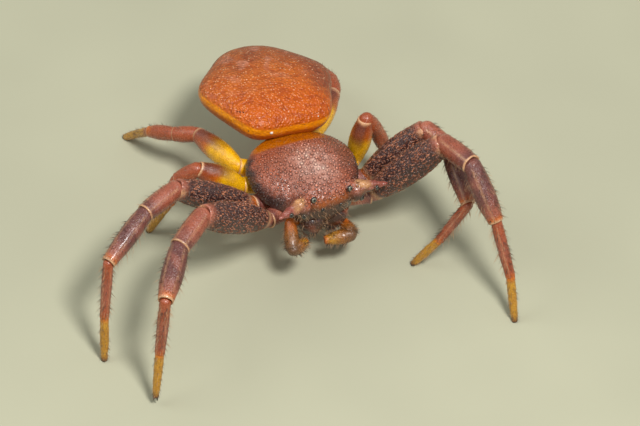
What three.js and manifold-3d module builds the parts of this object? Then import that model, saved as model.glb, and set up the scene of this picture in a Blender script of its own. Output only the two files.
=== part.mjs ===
// A crab spider of the horned-eyed flower-dwelling kind, life size, standing with its long
// front legs spread. Millimetres and degrees, +Z up. The spider faces -Y and its left is +X.
// Every node is one closed solid. Neighbours meet face to face, with a thin open joint.
import * as THREE from 'three';
import { mergeVertices } from 'three/addons/utils/BufferGeometryUtils.js';
import Module from 'manifold-3d';

const wasm = await Module();
wasm.setup();

// Driving dimensions
const joint = 0.05;                    // open joint between neighbouring nodes
const seat = 0.02;                     // open joint round an eye
const footprintShift = [1.91, 0.12];   // brings the middle of the footprint to the origin
const bodyPlace = [-0.16, 0, 2.42];    // middle of the carapace's rim
const bodyTilt = { yaw: 4, pitch: 5.5, roll: 5 };       // rear a little high, left side low
const abdomenTilt = { yaw: 0, pitch: -5, roll: 8.7 };   // rear a little low, left side low
const legSides = 12;                   // facets round a leg

const carapaceSize = { halfWidth: 1.96, halfLength: 1.68, top: 0.95, bottom: 0.14, y: 0.13 };
const rearSlope = { share: 0.55, from: -0.2, to: 1.7 };   // the shield's top sinks to the rear
const headSize = { halfWidth: 1.27, halfLength: 1.08, top: 0.98, bottom: 0.55, y: -0.75 };
const hornSize = { root: [0.8, -1.35, 0.6], tip: [2.08, -1.77, 0.79], radii: [0.3, 0.26, 0.17, 0.06] };
const hornFoot = { at: [1.02, -1.52, 0.5], radius: 0.34 };   // swelling under each horn
const sternumSize = { halfWidth: 1.0, halfLength: 1.35, top: 0.2, bottom: 0.85, y: 0.1 };
const coxaInner = { x: 0.62, share: 0.62, rear: 1.0, z: -0.5 };   // share of the leg root's y
const jawSize = { root: [0.46, -1.38, -0.1], tip: [0.4, -1.52, -0.85], radii: [0.46, 0.5, 0.44, 0.3] };
const waistSize = { from: [0, 1.1, -0.5], to: [0, 2.2, -0.35], radii: [0.26, 0.24, 0.24, 0.26] };
const spinneretSize = { from: [0, 1.5, -0.85], to: [0, 2.05, -0.92], radii: [0.32, 0.3, 0.26, 0.16] };

const abdomenSize = { top: 0.66, bottom: 1.3, centre: [0.06, 3.43, 3.19], roundness: 9 };
const abdomenSides = [                 // one half's outline: facing direction and distance
  [-90, 2.15],
  [-24, 2.26],
  [46, 2.09],
  [90, 2.12],
];

// Mirror of a side: +1 is the spider's left, -1 its right
const sides = { left: 1, right: -1 };

// Legs: joints from the trochanter to the claws, and the radii of each segment
const legJoints = {
  left_1: [[1.88, -1.09, 1.74], [3.94, -1.89, 4.35], [4.23, -3.29, 4.61], [4.57, -4.76, 3.17],
    [4.75, -5.87, 1.49], [4.72, -6.6, 0]],
  left_2: [[2.05, -0.27, 1.66], [3.93, -0.67, 3.79], [4.39, -1.6, 3.49], [4.23, -3.49, 2.83],
    [3.4, -3.36, 1.22], [2.65, -3.1, 0]],
  left_3: [[2.07, 0.51, 1.78], [2.45, 0.77, 3.38], [2.92, 0.74, 2.64], [3.3, 0.67, 1.67],
    [3.27, 0.69, 0.81], [3.2, 0.7, 0]],
  left_4: [[1.3, 2.1, 1.65], [2.72, 3.5, 1.76], [2.98, 4.22, 1.6], [2.9, 5.2, 1.12],
    [2.74, 5.8, 0.5], [2.65, 6.35, 0]],
  right_1: [[-2.0, -1.12, 2.17], [-4.76, -1.62, 4.13], [-5.95, -2.45, 3.98], [-7.19, -4.11, 3.66],
    [-7.52, -4.65, 1.77], [-7.84, -5.22, 0.3]],
  right_2: [[-2.2, -0.37, 2.2], [-5.07, -0.2, 4.07], [-6.42, -0.75, 4.02], [-8.14, -1.76, 3.4],
    [-8.49, -2.45, 1.55], [-8.65, -2.98, 0]],
  right_3: [[-2.2, 0.48, 2.26], [-3.61, 1.07, 3.08], [-4.18, 1.35, 2.47], [-4.46, 1.28, 1.49],
    [-4.75, 1.41, 0.72], [-5.02, 1.53, 0]],
  right_4: [[-2.0, 1.22, 2.35], [-2.59, 3.16, 2.19], [-3.16, 3.73, 1.84], [-3.65, 4.62, 1.25],
    [-3.81, 5.2, 0.58], [-4.03, 5.66, 0]],
};
const firstLeg = {
  coxa: [0.32, 0.34, 0.33, 0.3],
  femur: [0.3, 0.52, 0.56, 0.38],
  patella: [0.33, 0.36, 0.37, 0.33],
  tibia: [0.31, 0.37, 0.36, 0.25],
  metatarsus: [0.19, 0.2, 0.19, 0.16],
  tarsus: [0.15, 0.15, 0.14, 0.1],
};
const secondLeg = {
  coxa: [0.32, 0.34, 0.33, 0.3],
  femur: [0.28, 0.47, 0.5, 0.35],
  patella: [0.31, 0.34, 0.34, 0.3],
  tibia: [0.28, 0.33, 0.31, 0.23],
  metatarsus: [0.17, 0.18, 0.17, 0.15],
  tarsus: [0.14, 0.15, 0.14, 0.1],
};
const hindLeg = {
  coxa: [0.3, 0.32, 0.31, 0.27],
  femur: [0.27, 0.4, 0.4, 0.27],
  patella: [0.25, 0.28, 0.28, 0.24],
  tibia: [0.23, 0.26, 0.25, 0.19],
  metatarsus: [0.16, 0.16, 0.15, 0.14],
  tarsus: [0.14, 0.14, 0.13, 0.1],
};
const legRadii = { 1: firstLeg, 2: secondLeg, 3: hindLeg, 4: hindLeg };
const femurSlimness = { 1: 0.86, 2: 0.84, 3: 0.9, 4: 0.9 };   // width over height

// Palps: joints from the mouth to the tip
const palpJoints = {
  right: [[-0.55, -1.1, 1.75], [-1.32, -1.45, 2.08], [-1.6, -2.28, 1.7], [-0.95, -1.98, 1.55]],
  left: [[0.5, -1.2, 1.3], [0.72, -1.6, 1.3], [0.72, -2.1, 1.28], [-0.2, -1.92, 1.2]],
};
const palpRadii = {
  femur: [0.18, 0.2, 0.2, 0.18],
  tibia: [0.19, 0.23, 0.25, 0.22],
  tarsus: [0.22, 0.26, 0.22, 0.13],
};

// Eyes on the body: place on one side, radius
const eyes = {
  ame: { at: [0.35, -1.74, 0.42], radius: 0.08 },
  ale: { at: [1.12, -1.79, 0.48], radius: 0.11 },
  pme: { at: [0.7, -1.56, 0.88], radius: 0.1 },
  ple: { at: [1.66, -1.78, 0.76], radius: 0.085 },
};

const colours = {
  carapace: 0x7a3a22,
  sternum: 0x8a5a28,
  abdomen: 0xc8521c,
  darkLeg: 0x5a2a28,
  redLeg: 0x8a3a26,
  yellowLeg: 0xc98a1e,
  tarsus: 0xc08a20,
  eye: 0x1a1210,
};

// Small tools for solids
const vec = (p) => new THREE.Vector3(...p);
const radians = THREE.MathUtils.degToRad;

function solidOf(geometry, matrix) {
  const bare = geometry.clone();
  bare.deleteAttribute('normal');
  bare.deleteAttribute('uv');
  if (matrix) bare.applyMatrix4(matrix);
  const merged = mergeVertices(bare, 1e-5);
  const place = merged.attributes.position;
  const corners = merged.index.array;
  const triangles = [];
  let volume = 0;
  const [a, b, c] = [vec([0, 0, 0]), vec([0, 0, 0]), vec([0, 0, 0])];
  for (let i = 0; i < corners.length; i += 3) {
    const [p, q, r] = corners.slice(i, i + 3);
    if (p === q || q === r || r === p) continue;
    triangles.push([p, q, r]);
    a.fromBufferAttribute(place, p);
    b.fromBufferAttribute(place, q);
    c.fromBufferAttribute(place, r);
    volume += a.dot(b.cross(c));
  }
  if (volume < 0) triangles.forEach((triangle) => triangle.reverse());
  return new wasm.Manifold(new wasm.Mesh({
    numProp: 3,
    vertProperties: new Float32Array(place.array),
    triVerts: new Uint32Array(triangles.flat()),
  }));
}

function largest(solid) {
  return solid.decompose().sort((a, b) => b.volume() - a.volume())[0];
}

function unite(solids) {
  return solids.reduce((whole, solid) => whole.add(solid));
}

function cutBy(solid, cutters) {
  return cutters.reduce((rest, cutter) => rest.subtract(cutter), solid);
}

// Keeps the half of a solid on the far side of a plane, in the direction of facing
function keepBeyond(solid, point, facing, distance) {
  return solid.trimByPlane(facing.toArray(), facing.dot(point) + distance);
}

// A frame at a place: turned about Z, then pitched about X and rolled about Y
function tilted(place, { yaw, pitch, roll }) {
  return new THREE.Matrix4()
    .makeTranslation(...place)
    .multiply(new THREE.Matrix4().makeRotationZ(radians(yaw)))
    .multiply(new THREE.Matrix4().makeRotationX(radians(pitch)))
    .multiply(new THREE.Matrix4().makeRotationY(radians(roll)));
}

const bodyFrame = tilted(bodyPlace, bodyTilt);
const onBody = (p) => vec(p).applyMatrix4(bodyFrame);

// A turned segment between two points: radii at the start, a third, two thirds and the end
function segment(from, to, radii, { slim = 1, facets = legSides, spread = 0, up = vec([0, 0, 1]) } = {}) {
  const along = to.clone().sub(from);
  const length = along.length();
  along.normalize();
  const [start, first, second, end] = radii.map((radius) => radius + spread);
  const profile = [
    [0, -start * 0.95],
    [start * 0.66, -start * 0.66],
    [start, 0],
    [first, length * 0.33],
    [second, length * 0.66],
    [end, length],
    [end * 0.66, length + end * 0.66],
    [0, length + end * 0.95],
  ].map(([radius, distance]) => new THREE.Vector2(radius, distance));
  const side = along.clone().cross(up).normalize();
  const top = side.clone().cross(along);
  const frame = new THREE.Matrix4()
    .makeBasis(side.multiplyScalar(slim), along, top)
    .setPosition(from);
  return solidOf(new THREE.LatheGeometry(profile, facets), frame);
}

// A sphere pushed out to half sizes, its upper and lower halves of different height, with
// fullness under 1 making it squarer and slope sinking the top toward the rear
function lens(sizes, { grow = 0, fullness = 1, plan = 1, slope = null } = {}, rings = [28, 16]) {
  const { halfWidth, halfLength, top, bottom, y } = sizes;
  const geometry = new THREE.SphereGeometry(1, ...rings);
  geometry.rotateX(Math.PI / 2);
  const place = geometry.attributes.position;
  for (let i = 0; i < place.count; i += 1) {
    const p = vec([0, 0, 0]).fromBufferAttribute(place, i);
    const flat = Math.hypot(p.x, p.y);
    const angle = Math.atan2(p.y, p.x);
    const [across, ahead] = [Math.abs(Math.cos(angle)), Math.abs(Math.sin(angle))];
    const square = (across ** (2 / plan) + ahead ** (2 / plan)) ** (-plan / 2);
    const reach = flat ** fullness * square;
    const along = Math.sin(angle) * reach * (halfLength + grow) + y;
    const sunk = slope && p.z > 0 ? slope.share * THREE.MathUtils.smoothstep(along, slope.from, slope.to) : 0;
    const height = Math.abs(p.z) ** fullness * (p.z > 0 ? top * (1 - sunk) : bottom);
    place.setXYZ(
      i,
      Math.cos(angle) * reach * (halfWidth + grow),
      along,
      Math.sign(p.z) * (height + (height > 0 ? grow * Math.abs(p.z) : 0)),
    );
  }
  return geometry;
}

const parts = new THREE.Group();
parts.position.set(...footprintShift, 0);

function addNode(name, solid, colour, roughness = 0.5) {
  const whole = largest(solid).getMesh();
  const geometry = new THREE.BufferGeometry();
  geometry.setAttribute('position', new THREE.BufferAttribute(new Float32Array(whole.vertProperties), 3));
  geometry.setIndex(new THREE.BufferAttribute(new Uint32Array(whole.triVerts), 1));
  geometry.computeVertexNormals();
  const material = new THREE.MeshStandardMaterial({ color: colour, roughness, metalness: 0 });
  const mesh = new THREE.Mesh(geometry, material);
  mesh.name = name;
  parts.add(mesh);
}

// Prosoma: the shield over the legs' roots, its high face and the two eye horns
function carapaceSolid(grow = 0) {
  const shape = { grow, fullness: 0.85, plan: 0.94, slope: rearSlope };
  const shield = solidOf(lens(carapaceSize, shape, [36, 18]), bodyFrame);
  const head = solidOf(lens(headSize, { grow, fullness: 0.7, plan: 0.75 }, [28, 14]), bodyFrame);
  const horns = Object.values(sides).map((side) => {
    const root = onBody([hornSize.root[0] * side, ...hornSize.root.slice(1)]);
    const tip = onBody([hornSize.tip[0] * side, ...hornSize.tip.slice(1)]);
    return segment(root, tip, hornSize.radii, { spread: grow });
  });
  const feet = Object.values(sides).map((side) => {
    const place = onBody([hornFoot.at[0] * side, ...hornFoot.at.slice(1)]);
    const ball = new THREE.SphereGeometry(hornFoot.radius + grow, 16, 12);
    return solidOf(ball, new THREE.Matrix4().makeTranslation(...place.toArray()));
  });
  return unite([shield, head, ...horns, ...feet]);
}

function eyeSolid(kind, side, grow = 0) {
  const { at, radius } = eyes[kind];
  const place = onBody([at[0] * side, at[1], at[2]]);
  const ball = new THREE.SphereGeometry(radius + grow, 12, 8);
  return solidOf(ball, new THREE.Matrix4().makeTranslation(...place.toArray()));
}

const eyeList = Object.keys(eyes).flatMap((kind) => (
  Object.entries(sides).map(([name, side]) => [kind, name, side])
));
const sockets = eyeList.map(([kind, , side]) => eyeSolid(kind, side, seat));
addNode('carapace', cutBy(carapaceSolid(), sockets), colours.carapace, 0.45);
for (const [kind, name, side] of eyeList) {
  addNode(`eye_${kind}_${name}`, eyeSolid(kind, side), colours.eye, 0.1);
}
const carapaceClear = carapaceSolid(joint);

// Underside plate
const sternumSolid = (grow) => solidOf(lens(sternumSize, { grow, fullness: 0.8 }, [20, 10]), bodyFrame);
addNode('sternum', sternumSolid(0).subtract(carapaceClear), colours.sternum);
const sternumClear = sternumSolid(joint);

// Abdomen: a rounded five-sided plan with a low flat top and a deeper belly
function abdomenReach(angle) {
  const { roundness } = abdomenSize;
  const facing = [Math.abs(Math.cos(angle)), Math.sin(angle)];
  let sum = 0;
  for (const [turn, distance] of abdomenSides) {
    const share = (Math.cos(radians(turn)) * facing[0] + Math.sin(radians(turn)) * facing[1]) / distance;
    sum += Math.max(share, 0) ** roundness;
  }
  return sum ** (-1 / roundness);
}

const abdomenFrame = tilted(abdomenSize.centre, abdomenTilt);

function abdomenSolid(grow = 0) {
  const geometry = new THREE.SphereGeometry(1, 40, 22);
  geometry.rotateX(Math.PI / 2);
  const place = geometry.attributes.position;
  for (let i = 0; i < place.count; i += 1) {
    const p = vec([0, 0, 0]).fromBufferAttribute(place, i);
    const angle = Math.atan2(p.y, p.x);
    const reach = Math.hypot(p.x, p.y) ** (p.z > 0 ? 0.8 : 1) * (abdomenReach(angle) + grow);
    const height = p.z > 0 ? p.z * (abdomenSize.top + grow) : p.z * (abdomenSize.bottom + grow);
    place.setXYZ(i, Math.cos(angle) * reach, Math.sin(angle) * reach, height);
  }
  return solidOf(geometry, abdomenFrame);
}

const abdomenClear = abdomenSolid(joint);
addNode('abdomen', abdomenSolid().subtract(carapaceClear), colours.abdomen, 0.6);

// Waist between the two halves of the body
const waist = segment(onBody(waistSize.from), onBody(waistSize.to), waistSize.radii);
addNode('pedicel', cutBy(waist, [carapaceClear, sternumClear, abdomenClear]), colours.sternum);

// Spinnerets, a short blunt cone under the abdomen's rear
const spinneretRoot = vec(spinneretSize.from).applyMatrix4(abdomenFrame);
const spinneretTip = vec(spinneretSize.to).applyMatrix4(abdomenFrame);
const spinneret = segment(spinneretRoot, spinneretTip, spinneretSize.radii);
addNode('spinnerets', spinneret.subtract(abdomenClear), colours.sternum);

// Jaws under the face
const jawsClear = [];
for (const [name, side] of Object.entries(sides)) {
  const root = onBody([jawSize.root[0] * side, ...jawSize.root.slice(1)]);
  const tip = onBody([jawSize.tip[0] * side, ...jawSize.tip.slice(1)]);
  const jaw = (spread) => segment(root, tip, jawSize.radii, { spread });
  const across = onBody([side, 0, 0]).sub(onBody([0, 0, 0]));
  const whole = cutBy(jaw(0), [carapaceClear, sternumClear]);
  const shape = keepBeyond(whole, onBody([0, 0, 0]), across, joint / 2);
  addNode(`chelicera_${name}`, shape, colours.darkLeg);
  jawsClear.push(jaw(joint));
}

// Legs
const bodyClear = [carapaceClear, sternumClear, abdomenClear];
const coxaeClear = [];
for (const [leg, places] of Object.entries(legJoints)) {
  const number = leg.split('_')[1];
  const side = sides[leg.split('_')[0]];
  const radii = legRadii[number];
  const [root, knee, patellaEnd, tibiaEnd, metatarsusEnd, tip] = places.map(vec);
  const rootOnBody = root.clone().applyMatrix4(bodyFrame.clone().invert());
  const innerY = Math.min(rootOnBody.y * coxaInner.share, coxaInner.rear);
  const inner = onBody([coxaInner.x * side, innerY, coxaInner.z]);
  const slim = femurSlimness[number];
  const chain = [
    ['coxa', inner, root, segment(inner, root, radii.coxa), colours.yellowLeg],
    ['femur', root, knee, segment(root, knee, radii.femur, { slim }), colours.darkLeg],
    ['patella', knee, patellaEnd, segment(knee, patellaEnd, radii.patella), colours.redLeg],
    ['tibia', patellaEnd, tibiaEnd, segment(patellaEnd, tibiaEnd, radii.tibia), colours.redLeg],
    ['foot', tibiaEnd, metatarsusEnd, unite([
      segment(tibiaEnd, metatarsusEnd, radii.metatarsus),
      segment(metatarsusEnd, tip, radii.tarsus),
    ]), colours.tarsus],
  ];
  const facings = chain.map(([, from, to]) => to.clone().sub(from).normalize());
  chain.forEach(([name, from, to, solid, colour], i) => {
    let shape = solid;
    if (i > 0) {
      const facing = facings[i - 1].clone().add(facings[i]).normalize();
      shape = keepBeyond(shape, from, facing, joint / 2);
    }
    if (i < chain.length - 1) {
      const facing = facings[i].clone().add(facings[i + 1]).normalize();
      shape = keepBeyond(shape, to, facing.negate(), joint / 2);
    } else {
      shape = shape.trimByPlane([0, 0, 1], 0);
    }
    if (i < 3) shape = cutBy(shape, bodyClear);
    if (i === 0) shape = cutBy(shape, [...coxaeClear, ...jawsClear]);
    addNode(`leg_${leg}_${name}`, shape, colour);
  });
  coxaeClear.push(segment(inner, root, radii.coxa, { spread: joint }));
}

// Palps, folded under the face
for (const [name, places] of Object.entries(palpJoints)) {
  const [root, knee, bend, tip] = places.map(vec);
  const upper = unite([
    segment(root, knee, palpRadii.femur, { facets: 10 }),
    segment(knee, bend, palpRadii.tibia, { facets: 10 }),
  ]);
  const lower = segment(bend, tip, palpRadii.tarsus, { facets: 10 });
  const facing = bend.clone().sub(knee).normalize().add(tip.clone().sub(bend).normalize()).normalize();
  const clear = [carapaceClear, sternumClear, ...jawsClear, ...coxaeClear];
  const base = cutBy(keepBeyond(upper, bend, facing.clone().negate(), joint / 2), clear);
  addNode(`palp_${name}_base`, base, colours.yellowLeg);
  const tipShape = cutBy(keepBeyond(lower, bend, facing, joint / 2), jawsClear);
  addNode(`palp_${name}_tip`, tipShape, colours.yellowLeg);
}

export default parts;
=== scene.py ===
import math
import random

import bmesh
import bpy
import numpy as np
from mathutils import Matrix, Vector, kdtree, noise


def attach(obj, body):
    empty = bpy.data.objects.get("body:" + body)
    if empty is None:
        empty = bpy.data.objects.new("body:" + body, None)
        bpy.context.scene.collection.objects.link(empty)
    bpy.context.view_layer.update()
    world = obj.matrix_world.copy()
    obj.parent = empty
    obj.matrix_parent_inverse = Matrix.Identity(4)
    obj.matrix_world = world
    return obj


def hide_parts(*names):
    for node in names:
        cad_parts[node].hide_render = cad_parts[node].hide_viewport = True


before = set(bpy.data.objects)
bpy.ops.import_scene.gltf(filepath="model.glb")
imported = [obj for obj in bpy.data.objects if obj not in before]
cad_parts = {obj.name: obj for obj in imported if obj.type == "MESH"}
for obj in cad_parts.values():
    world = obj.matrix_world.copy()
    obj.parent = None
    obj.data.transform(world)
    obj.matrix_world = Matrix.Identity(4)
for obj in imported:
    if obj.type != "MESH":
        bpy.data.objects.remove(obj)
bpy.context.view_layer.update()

mm = 0.001                                  # everything below is in millimetres until it is made
footprintShift = Vector((1.91, 0.12, 0))    # the frame's origin is under the middle of the footprint
mergeDistance = 1e-5                        # corners nearer than this are one
chance = random.Random(7)


# Small helpers


def linear(level):
    # a screen level, 0 to 255, in linear light
    level /= 255
    return level / 12.92 if level <= 0.04045 else ((level + 0.055) / 1.055) ** 2.4


def palette(**screenTones):
    return {name: np.array([linear(level) for level in levels]) for name, levels in screenTones.items()}


def unit(vectors):
    return vectors / np.maximum(np.linalg.norm(vectors, axis=1), 1e-6)[:, None]


def smooth(value, low, high):
    share = np.clip((value - low) / (high - low), 0, 1)
    return share * share * (3 - 2 * share)


def blend(a, b, share):
    return a + (b - a) * np.asarray(share)[..., None]


def layered(tint, hues, *layers):
    # one colour laid over another, each as strongly as its share
    for name, share in layers:
        tint = blend(tint, hues[name], share)
    return tint


def stops(position, marked):
    # colours along 0 to 1, from a list of (place, colour)
    places = [place for place, _ in marked]
    return np.stack([np.interp(position, places, [tone[i] for _, tone in marked]) for i in range(3)], axis=-1)


def speckle(points, scale, seed):
    # soft noise from -1 to 1 at each point
    offset = Vector((seed * 13.7, seed * 5.1, seed * 9.3))
    return np.array([noise.noise(Vector(point) * scale + offset) for point in points])


def bearing(azimuth, height):
    # a direction from degrees: azimuth 0 is the spider's front, height is above the floor
    azimuth, height = math.radians(azimuth), math.radians(height)
    level = math.cos(height)
    return Vector((math.sin(azimuth) * level, -math.cos(azimuth) * level, math.sin(height)))


def mirrored(place, sign):
    # a place on the left, or its twin on the right where the sign is -1
    return Vector((place[0] * sign, *place[1:]))


def addObject(name, data):
    made = bpy.data.objects.new(name, data)
    bpy.context.collection.objects.link(made)
    return made


# The frames of the front body and of the abdomen, tilted as the solids are, in degrees

body = {"place": (-0.16, 0, 2.42), "yaw": 4, "pitch": 5.5, "roll": 5}
abdomenPose = {"place": (0.06, 3.43, 3.19), "yaw": 0, "pitch": -5, "roll": 8.7}


def tilted(pose):
    yaw, pitch, roll = (math.radians(pose[key]) for key in ("yaw", "pitch", "roll"))
    turn = Matrix.Rotation(yaw, 4, "Z") @ Matrix.Rotation(pitch, 4, "X") @ Matrix.Rotation(roll, 4, "Y")
    return Matrix.Translation(pose["place"]) @ turn


bodyFrame = tilted(body)
abdomenFrame = tilted(abdomenPose)
sideSigns = {"left": 1, "right": -1}


class Pile:
    # gathers finished shapes into one mesh, with a colour and other values at each point
    def __init__(self):
        self.points = []
        self.faces = []
        self.values = {}
        self.count = 0

    def add(self, points, faces, **values):
        points = np.asarray(points, float)
        self.points.append(points)
        self.faces.extend([tuple(index + self.count for index in face) for face in faces])
        for name, value in values.items():
            value = np.asarray(value, float)
            if name == "tint" and value.ndim == 1:
                value = np.tile(value, (len(points), 1))
            elif value.ndim == 0:
                value = np.full(len(points), float(value))
            self.values.setdefault(name, []).append(value)
        self.count += len(points)

    def make(self, name, material):
        points = (np.concatenate(self.points) + np.array(footprintShift)) * mm
        points[:, 2] = np.maximum(points[:, 2], 0)   # feet stop at the floor
        mesh = bpy.data.meshes.new(name)
        mesh.from_pydata(points.tolist(), [], self.faces)
        for key, value in self.values.items():
            data = np.concatenate(value)
            if key == "tint":
                layer = mesh.attributes.new(key, "FLOAT_COLOR", "POINT")
                layer.data.foreach_set("color", np.column_stack([data, np.ones(len(data))]).ravel())
            elif key == "root":
                layer = mesh.uv_layers.new(name="OFBake")
                loops = np.zeros(len(mesh.loops), int)
                mesh.loops.foreach_get("vertex_index", loops)
                layer.data.foreach_set("uv", data[loops].ravel())
            else:
                layer = mesh.attributes.new(key, "FLOAT", "POINT")
                layer.data.foreach_set("value", data)
        mesh.polygons.foreach_set("use_smooth", [True] * len(mesh.polygons))
        mesh.materials.append(material)
        piece = addObject(name, mesh)
        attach(piece, "root")
        return piece


def arraysOf(bm):
    # the points and faces of a finished bmesh
    bmesh.ops.recalc_face_normals(bm, faces=bm.faces)
    bm.verts.ensure_lookup_table()
    bm.verts.index_update()
    points = np.array([vertex.co[:] for vertex in bm.verts])
    faces = [[vertex.index for vertex in face.verts] for face in bm.faces]
    bm.free()
    return points, faces


def placed(points, matrix):
    turn = np.array(matrix.to_3x3())
    return points @ turn.T + np.array(matrix.translation)


def turned(profile, facets, ring=False):
    # a closed round shape from (radius, height) pairs, which start and end on the axis or go round a ring
    bm = bmesh.new()
    corners = [bm.verts.new((radius, 0, height)) for radius, height in profile]
    following = corners[1:] + corners[:1] if ring else corners[1:]
    edges = [bm.edges.new(pair) for pair in zip(corners, following)]
    bmesh.ops.spin(bm, geom=corners + edges, cent=(0, 0, 0), axis=(0, 0, 1), dvec=(0, 0, 0),
                   angle=2 * math.pi, steps=facets, use_merge=True)
    bmesh.ops.remove_doubles(bm, verts=bm.verts, dist=mergeDistance)
    return arraysOf(bm)


def ball(columns, rows):
    bm = bmesh.new()
    bmesh.ops.create_uvsphere(bm, u_segments=columns, v_segments=rows, radius=1)
    return arraysOf(bm)


def bead(detail):
    bm = bmesh.new()
    bmesh.ops.create_icosphere(bm, subdivisions=detail, radius=1)
    return arraysOf(bm)


def basis(along):
    # a turn whose Z runs along a direction and whose Y is as near up as it can be
    along = Vector(along).normalized()
    side = along.cross(Vector((0, 0, 1)))
    if side.length < 1e-4:   # straight up or down
        side = along.cross(Vector((0, 1, 0)))
    side.normalize()
    top = side.cross(along)
    return Matrix((side, top, along)).transposed().to_4x4()


# Materials


class Link:
    # a shader socket that arithmetic works on
    def __init__(self, maker, socket):
        self.maker = maker
        self.socket = socket

    def calculate(self, operation, *values):
        return self.maker.node("ShaderNodeMath", {"operation": operation}, *values)

    def __add__(self, other):
        return self.calculate("ADD", self, other)

    def __sub__(self, other):
        return self.calculate("SUBTRACT", self, other)

    def __rsub__(self, other):
        return self.calculate("SUBTRACT", other, self)

    def __mul__(self, other):
        return self.calculate("MULTIPLY", self, other)

    __radd__ = __add__
    __rmul__ = __mul__

    def step(self, low, high):
        return self.maker.node("ShaderNodeMapRange", {"interpolation_type": "SMOOTHSTEP"}, self, low, high)


class Finish:
    # a material on one Principled surface
    def __init__(self, name, **constants):
        self.material = bpy.data.materials.new(name)
        self.material.use_nodes = True
        self.tree = self.material.node_tree
        self.surface = self.tree.nodes["Principled BSDF"]
        for socket, value in constants.items():
            self.surface.inputs[socket.replace("_", " ")].default_value = value
        coordinates = self.node("ShaderNodeTexCoord", {}, output="Object")
        self.place = self.node("ShaderNodeVectorMath", {"operation": "SCALE"}, coordinates, Scale=1 / mm)

    def node(self, kind, settings, *values, output=0, **named):
        made = self.tree.nodes.new(kind)
        for key, value in settings.items():
            setattr(made, key, value)
        pairs = [(made.inputs[index], value) for index, value in enumerate(values)]
        pairs += [(made.inputs[key.replace("_", " ")], value) for key, value in named.items()]
        for socket, value in pairs:
            if isinstance(value, Link):
                self.tree.links.new(value.socket, socket)
            else:
                socket.default_value = value
        return Link(self, made.outputs[output])

    def attribute(self, name, output="Fac"):
        return self.node("ShaderNodeAttribute", {"attribute_name": name}, output=output)

    def grain(self, scale, detail=2.0, roughness=0.5, place=None):
        return self.node("ShaderNodeTexNoise", {}, Vector=place or self.place, Scale=scale,
                         Detail=detail, Roughness=roughness)

    def cells(self, scale):
        return self.node("ShaderNodeTexVoronoi", {}, Vector=self.place, Scale=scale)

    def mix(self, share, first, second, mode="MIX"):
        made = self.tree.nodes.new("ShaderNodeMix")
        made.data_type = "RGBA"
        made.blend_type = mode
        for index, value in ((0, share), (6, first), (7, second)):
            if isinstance(value, Link):
                self.tree.links.new(value.socket, made.inputs[index])
            elif index == 0:
                made.inputs[index].default_value = value
            else:
                made.inputs[index].default_value = (*value, 1)
        return Link(self, made.outputs[2])

    def use(self, socket, link):
        self.tree.links.new(link.socket, self.surface.inputs[socket])

    def relief(self, height, distance):
        self.use("Normal", self.node("ShaderNodeBump", {}, Height=height, Distance=distance * mm, Strength=1))


cuticles = {   # granules to a millimetre, and the depth of their relief in millimetres
    "granular shield": {"roughness": 0.2, "coat": 0.35, "granules": 11.0, "relief": 0.035},
    "leg cuticle": {"roughness": 0.25, "coat": 0.25, "granules": 13.0, "relief": 0.035},
    "underside cuticle": {"roughness": 0.45, "coat": 0.0, "granules": 9.0, "relief": 0.015},
}
cuticleShades = {"mottle": (0.6, 0.48, 0.48), "paintedPitShade": (0.45, 0.36, 0.36), "spots": (0.42, 0.2, 0.14)}


def cuticleFinish(name, roughness, coat, granules, relief):
    # hard cuticle coloured by its own tint, mottled, with fine granules where grain is high and painted shade
    # in the fine pits
    finish = Finish(name, IOR=1.6, Coat_Weight=coat, Coat_Roughness=0.12)
    tint = finish.attribute("tint", "Color")
    grain = finish.attribute("grain")
    mottle = finish.grain(5.0, 4.0, 0.6).step(0.35, 0.7)
    fine = finish.grain(28.0, 3.0, 0.6)
    spots = (1 - finish.cells(granules).step(0.1, 0.55)) * grain
    shade = finish.mix(0.5 * mottle, tint, cuticleShades["mottle"], "MULTIPLY")
    # painted shade where the fine relief is low
    shade = finish.mix((1 - fine.step(0.35, 0.6)) * 0.5, shade, cuticleShades["paintedPitShade"], "MULTIPLY")
    shade = finish.mix(spots * 0.25, shade, cuticleShades["spots"])
    finish.use("Base Color", shade)
    finish.use("Roughness", roughness + grain * 0.12 + (fine - 0.5) * 0.3)
    finish.relief(spots * 0.9 + fine * 0.5 + mottle * 0.2, relief)
    return finish.material


carapaceFinish, legFinish, softFinish = (cuticleFinish(name, **values) for name, values in cuticles.items())

skinShades = {
    "cloud": (0.8, 0.62, 0.55), "paintedHollowShade": (0.58, 0.36, 0.2), "wrinkles": (0.6, 0.42, 0.28),
    "glint": (0.98, 0.62, 0.38),
}
skinRelief = 0.045   # mm


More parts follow.
